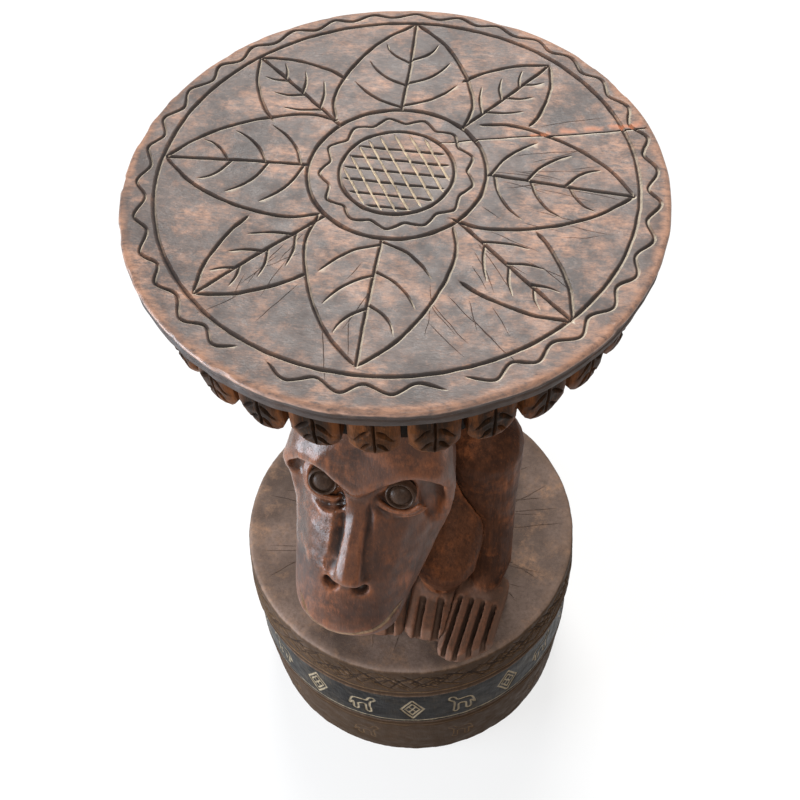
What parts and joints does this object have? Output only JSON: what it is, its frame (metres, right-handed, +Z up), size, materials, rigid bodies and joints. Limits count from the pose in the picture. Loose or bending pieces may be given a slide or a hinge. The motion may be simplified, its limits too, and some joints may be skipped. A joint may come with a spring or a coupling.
{
  "type": "carved stool",
  "caption": "Round carved wooden stool: seat with a leaf rosette and leaf frieze, carried by a crouching monkey on a drum base with a dark carved band.",
  "frame": {"origin": "centre of the base on the floor", "axes": "+Z up through the middle of the seat, the monkey faces -Y, +X is to the monkey's left"},
  "size_m": [0.3, 0.3, 0.509],
  "materials": {
    "seat": "dark stained and waxed, worn to red-brown at the edges",
    "frieze": "dark stained, worn warm brown on the leaf faces",
    "figure": "dark red-brown, polished by handling",
    "base": "dry brown, checked end grain",
    "band": "blackened, dusty in the cuts",
    "eye": "dark and polished",
    "dowel": "bare pale wood"
  },
  "bodies": {
    "root": {"seat_top": "seat", "apron_block": "frieze", "base_top": "base", "base_plinth": "base", "base_band": "band", "torso": "figure", "head": "figure", "left_arm": "figure", "right_arm": "figure", "left_leg": "figure", "right_leg": "figure", "left_eye": "eye", "right_eye": "eye", "leaf_drop_01": "frieze", "leaf_drop_02": "frieze", "leaf_drop_03": "frieze", "leaf_drop_04": "frieze", "leaf_drop_05": "frieze", "leaf_drop_06": "frieze", "leaf_drop_07": "frieze", "leaf_drop_08": "frieze", "leaf_drop_09": "frieze", "leaf_drop_10": "frieze", "leaf_drop_11": "frieze", "leaf_drop_12": "frieze", "leaf_drop_13": "frieze", "leaf_drop_14": "frieze", "leaf_drop_15": "frieze", "leaf_drop_16": "frieze", "leaf_drop_17": "frieze", "leaf_drop_18": "frieze", "leaf_drop_19": "frieze", "leaf_drop_20": "frieze", "leaf_drop_21": "frieze", "leaf_drop_22": "frieze", "leaf_drop_23": "frieze", "leaf_drop_24": "frieze", "leaf_drop_25": "frieze", "leaf_drop_26": "frieze", "leaf_drop_27": "frieze", "leaf_drop_28": "frieze", "seat_dowel_1": "dowel", "seat_dowel_2": "dowel", "torso_top_dowel_1": "dowel", "torso_top_dowel_2": "dowel", "base_dowel_1": "dowel", "base_dowel_2": "dowel", "torso_foot_dowel": "dowel", "neck_dowel": "dowel", "left_shoulder_dowel": "dowel", "right_shoulder_dowel": "dowel", "left_hip_dowel": "dowel", "right_hip_dowel": "dowel", "left_hand_dowel": "dowel", "right_hand_dowel": "dowel"}
  },
  "joints": []
}
